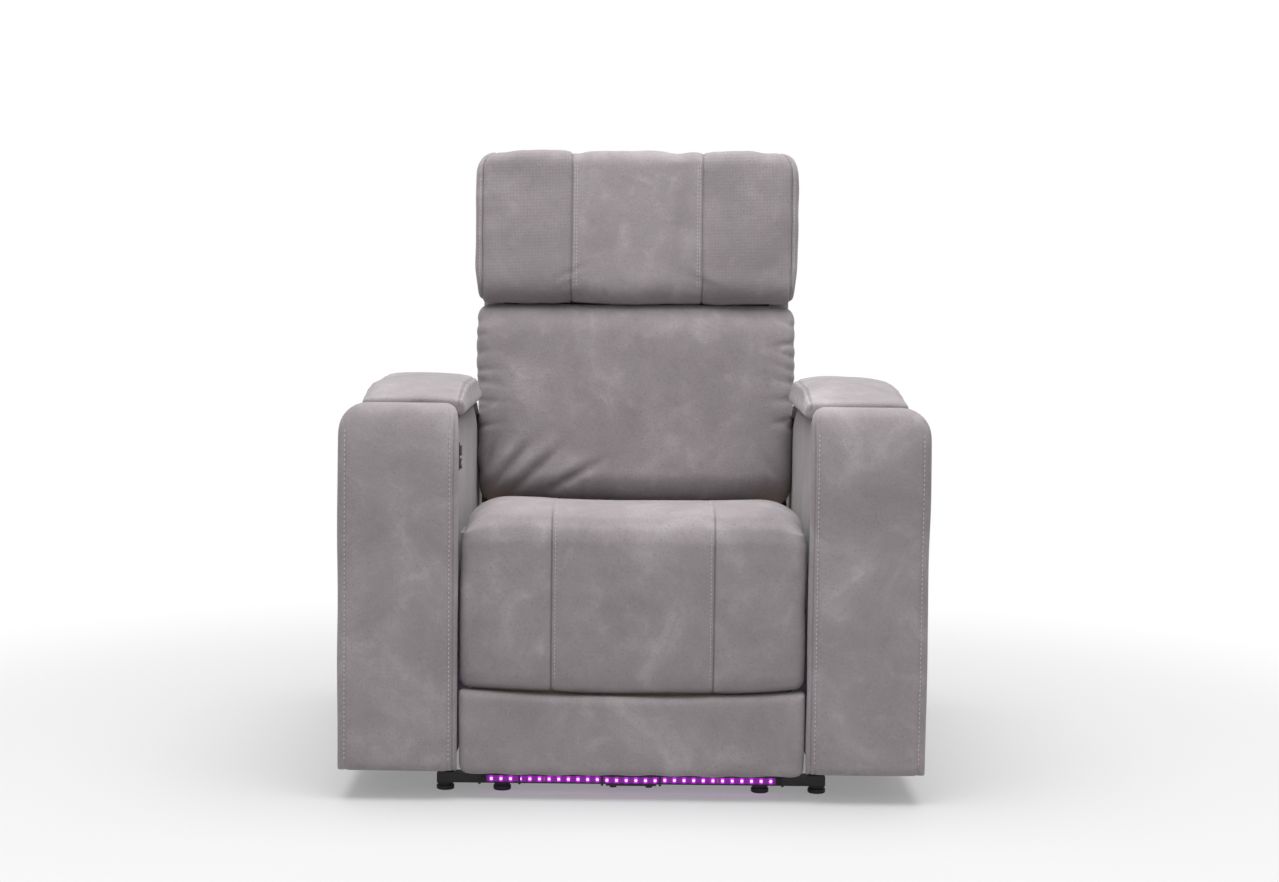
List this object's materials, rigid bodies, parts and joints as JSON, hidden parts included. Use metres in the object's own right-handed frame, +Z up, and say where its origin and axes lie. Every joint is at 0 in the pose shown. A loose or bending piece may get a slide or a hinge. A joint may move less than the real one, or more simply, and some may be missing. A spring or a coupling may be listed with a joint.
{
  "type": "cinema recliner seat",
  "caption": "Upholstered powered cinema recliner with two storage arms, swing-out footrest, reclining back and tilting headrest.",
  "frame": {"origin": "on the floor, under the middle of the whole seat", "axes": "+Z up, -Y to the front, +X to the right of someone who looks at the front"},
  "size_m": [1, 0.94, 1.1168],
  "materials": {
    "black_steel": "satin black powder coat",
    "zinc_steel": "bright zinc plate",
    "drive_rod": "polished steel",
    "drive_case": "fine moulded black",
    "foot_plastic": "matt black",
    "board": "raw birch ply",
    "suede": "warm mauve-grey suede-like woven cloth",
    "webbing": "black elastic webbing",
    "bin_liner": "soft black lining",
    "control_bezel": "gloss black",
    "control_rocker": "satin dark brown",
    "led_tape": "dark purple backing",
    "led_lens": "lit violet diode",
    "tie_plastic": "black nylon",
    "lead_tape": "black tape"
  },
  "bodies": {
    "base": {"base_cross_tubes": "black_steel", "base_rails": "black_steel", "feet": "foot_plastic", "arm_brackets": "black_steel", "carrier_brackets": "black_steel", "actuator_bracket": "black_steel", "recline_actuator": "drive_case", "led_strip": "led_tape", "led_chips": "led_lens", "cable_ties": "tie_plastic", "led_leads": "lead_tape", "arm_frame_left": "board", "arm_frame_right": "board", "arm_outer_panel_left": "suede", "arm_outer_panel_right": "suede", "arm_inner_panels": "suede", "arm_front_pad_left": "suede", "arm_front_pad_right": "suede", "storage_bin_left": "bin_liner", "storage_bin_right": "bin_liner", "arm_hinge_leaves": "zinc_steel", "control_plate": "control_bezel"},
    "lid_left": {"lid_board_left": "board", "lid_pad_left": "suede", "lid_hinge_left": "zinc_steel"},
    "lid_right": {"lid_board_right": "board", "lid_pad_right": "suede", "lid_hinge_right": "zinc_steel"},
    "recline_rocker": {"recline_switch": "control_rocker"},
    "footrest_rocker": {"footrest_switch": "control_rocker"},
    "carrier_front": {"carrier_front": "black_steel"},
    "carrier_rear": {"carrier_rear": "black_steel"},
    "recline_slider": {"recline_slider": "drive_rod"},
    "seat": {"seat_plate_left": "black_steel", "seat_plate_right": "black_steel", "seat_cross_tubes": "black_steel", "seat_box": "board", "seat_webbing": "webbing", "seat_cushion": "suede", "footrest_actuator": "drive_case"},
    "footrest": {"footrest_board": "board", "leg_pad": "suede", "lower_panel": "suede", "footrest_brackets": "black_steel"},
    "main_links": {"main_links": "zinc_steel"},
    "main_coupler_left": {"main_coupler_left": "zinc_steel"},
    "main_coupler_right": {"main_coupler_right": "zinc_steel"},
    "second_link_left": {"second_link_left": "zinc_steel"},
    "second_link_right": {"second_link_right": "zinc_steel"},
    "second_coupler_left": {"second_coupler_left": "zinc_steel"},
    "second_coupler_right": {"second_coupler_right": "zinc_steel"},
    "footrest_slider": {"footrest_slider": "drive_rod"},
    "back": {"back_frame": "black_steel", "back_cushion": "suede", "back_cover": "suede"},
    "back_link_left": {"back_link_left": "zinc_steel"},
    "back_link_right": {"back_link_right": "zinc_steel"},
    "headrest": {"headrest_board": "board", "headrest_cushion": "suede", "headrest_hinges": "zinc_steel"}
  },
  "joints": [
    {"name": "seat_recline", "type": "hinge", "parent": "base", "child": "carrier_front", "pos_m": [0, -0.21, 0.12], "axis": [1, 0, 0], "range_deg": [0, 40]},
    {"name": "carrier_rear_turn", "type": "hinge", "parent": "base", "child": "carrier_rear", "pos_m": [0, 0.08, 0.12], "axis": [1, 0, 0], "range_deg": [0, 40]},
    {"name": "seat_level", "type": "hinge", "parent": "carrier_front", "child": "seat", "pos_m": [0, -0.12396, 0.24287], "axis": [1, 0, 0], "range_deg": [-40, 0]},
    {"name": "back_recline", "type": "hinge", "parent": "seat", "child": "back", "pos_m": [0, 0.13, 0.4], "axis": [-1, 0, 0], "range_deg": [0, 40]},
    {"name": "headrest_tilt", "type": "hinge", "parent": "back", "child": "headrest", "pos_m": [0, 0.12406, 0.87925], "axis": [1, 0, 0], "range_deg": [0, 40]},
    {"name": "footrest_lift", "type": "hinge", "parent": "seat", "child": "footrest", "pos_m": [0, -0.465, 0.44], "axis": [-1, 0, 0], "range_deg": [0, 85]},
    {"name": "main_link_turn", "type": "hinge", "parent": "seat", "child": "main_links", "pos_m": [0, -0.24, 0.345], "axis": [-1, 0, 0], "range_deg": [0, 85]},
    {"name": "main_coupler_left_turn", "type": "hinge", "parent": "main_links", "child": "main_coupler_left", "pos_m": [0, -0.145, 0.095], "axis": [-1, 0, 0], "range_deg": [-85, 0]},
    {"name": "main_coupler_right_turn", "type": "hinge", "parent": "main_links", "child": "main_coupler_right", "pos_m": [0, -0.145, 0.095], "axis": [-1, 0, 0], "range_deg": [-85, 0]},
    {"name": "second_link_left_turn", "type": "hinge", "parent": "seat", "child": "second_link_left", "pos_m": [0, -0.185, 0.3], "axis": [-1, 0, 0], "range_deg": [0, 85]},
    {"name": "second_link_right_turn", "type": "hinge", "parent": "seat", "child": "second_link_right", "pos_m": [0, -0.185, 0.3], "axis": [-1, 0, 0], "range_deg": [0, 85]},
    {"name": "second_coupler_left_turn", "type": "hinge", "parent": "second_link_left", "child": "second_coupler_left", "pos_m": [0, -0.09, 0.19], "axis": [-1, 0, 0], "range_deg": [-85, 0]},
    {"name": "second_coupler_right_turn", "type": "hinge", "parent": "second_link_right", "child": "second_coupler_right", "pos_m": [0, -0.09, 0.19], "axis": [-1, 0, 0], "range_deg": [-85, 0]},
    {"name": "footrest_drive", "type": "slide", "parent": "seat", "child": "footrest_slider", "axis": [0, -1, 0], "range_m": [0, 0.08107]},
    {"name": "recline_drive", "type": "slide", "parent": "base", "child": "recline_slider", "axis": [0, 1, 0], "range_m": [0, 0.03762]},
    {"name": "back_link_left_turn", "type": "hinge", "parent": "base", "child": "back_link_left", "pos_m": [0, 0.107, 0.132], "axis": [1, 0, 0], "range_deg": [0, 26]},
    {"name": "back_link_right_turn", "type": "hinge", "parent": "base", "child": "back_link_right", "pos_m": [0, 0.107, 0.132], "axis": [1, 0, 0], "range_deg": [0, 26]},
    {"name": "lid_left_turn", "type": "hinge", "parent": "base", "child": "lid_left", "pos_m": [-0.466, -0.189, 0.655], "axis": [0, -1, 0], "range_deg": [0, 95]},
    {"name": "lid_right_turn", "type": "hinge", "parent": "base", "child": "lid_right", "pos_m": [0.466, -0.189, 0.655], "axis": [0, 1, 0], "range_deg": [0, 95]},
    {"name": "footrest_rocker_turn", "type": "hinge", "parent": "base", "child": "footrest_rocker", "pos_m": [-0.3018, -0.38, 0.56825], "axis": [0, 1, 0], "range_deg": [-7, 7], "stiffness_Nm_per_rad": 0.25},
    {"name": "recline_rocker_turn", "type": "hinge", "parent": "base", "child": "recline_rocker", "pos_m": [-0.3018, -0.38, 0.59075], "axis": [0, 1, 0], "range_deg": [-7, 7], "stiffness_Nm_per_rad": 0.25}
  ],
  "couplings": [
    {"joint": "carrier_rear_turn", "follows": "seat_recline", "ratio": 1},
    {"joint": "seat_level", "follows": "seat_recline", "ratio": -1},
    {"joint": "back_recline", "follows": "seat_recline", "ratio": 1},
    {"joint": "recline_drive", "follows": "seat_recline", "m_per_rad": 0.053887},
    {"joint": "back_link_left_turn", "follows": "seat_recline", "ratio": 0.65},
    {"joint": "back_link_right_turn", "follows": "seat_recline", "ratio": 0.65},
    {"joint": "main_link_turn", "follows": "footrest_lift", "ratio": 1},
    {"joint": "main_coupler_left_turn", "follows": "footrest_lift", "ratio": -1},
    {"joint": "main_coupler_right_turn", "follows": "footrest_lift", "ratio": -1},
    {"joint": "second_link_left_turn", "follows": "footrest_lift", "ratio": 1},
    {"joint": "second_link_right_turn", "follows": "footrest_lift", "ratio": 1},
    {"joint": "second_coupler_left_turn", "follows": "footrest_lift", "ratio": -1},
    {"joint": "second_coupler_right_turn", "follows": "footrest_lift", "ratio": -1},
    {"joint": "footrest_drive", "follows": "footrest_lift", "m_per_rad": 0.054647}
  ]
}
